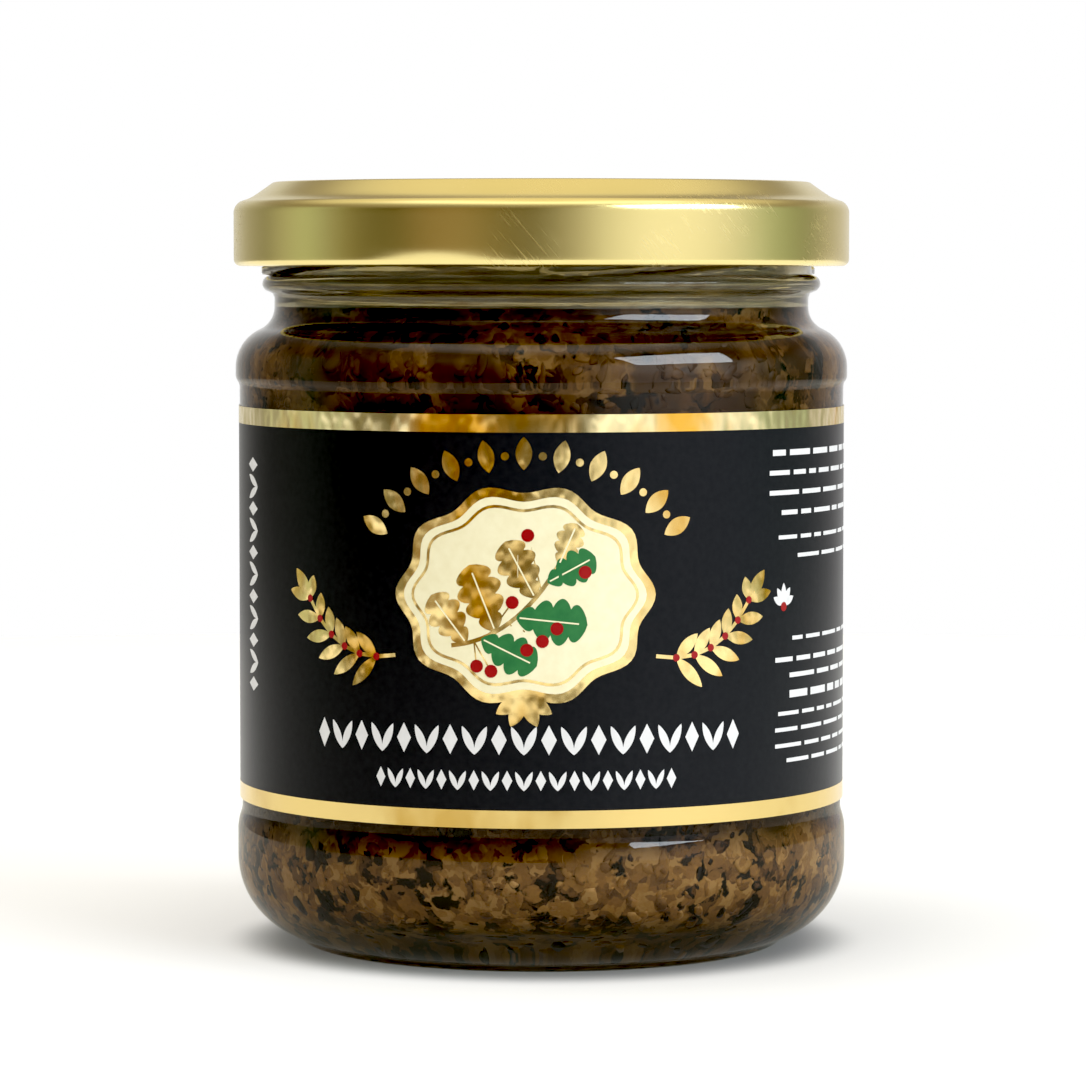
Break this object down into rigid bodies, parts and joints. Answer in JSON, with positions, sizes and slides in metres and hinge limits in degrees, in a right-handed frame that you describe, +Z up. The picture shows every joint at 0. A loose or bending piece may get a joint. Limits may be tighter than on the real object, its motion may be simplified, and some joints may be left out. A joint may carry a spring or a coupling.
{
  "type": "jar of ground black truffle",
  "caption": "Round clear glass jar packed with ground black truffle in oil, with a gold twist-off lid, a soft sealing ring inside it and a dark wrap-around label.",
  "frame": {"origin": "centre of the jar's foot, on the surface that it stands on", "axes": "+Z up along the jar's axis, -Y out of the front of the label"},
  "size_m": [0.067, 0.067, 0.0828],
  "materials": {
    "clear_glass": "polished",
    "gold_lacquered_tinplate": "satin",
    "sealing_compound": "satin",
    "coated_paper": "satin",
    "ground_truffle": "satin"
  },
  "bodies": {
    "jar": {"glass_jar": "clear_glass", "ground_truffle": "ground_truffle", "label": "coated_paper"},
    "seal": {"sealing_gasket": "sealing_compound"},
    "lid": {"lid": "gold_lacquered_tinplate"}
  },
  "joints": [
    {"name": "lid_rise", "type": "slide", "parent": "jar", "child": "seal", "axis": [0, 0, 1], "range_m": [0, 0.0024]},
    {"name": "lid_turn", "type": "hinge", "parent": "seal", "child": "lid", "pos_m": [0, 0, 0.0737], "axis": [0, 0, 1], "range_deg": [0, 60]}
  ],
  "couplings": [
    {"joint": "lid_rise", "follows": "lid_turn", "m_per_rad": 0.0022282}
  ]
}
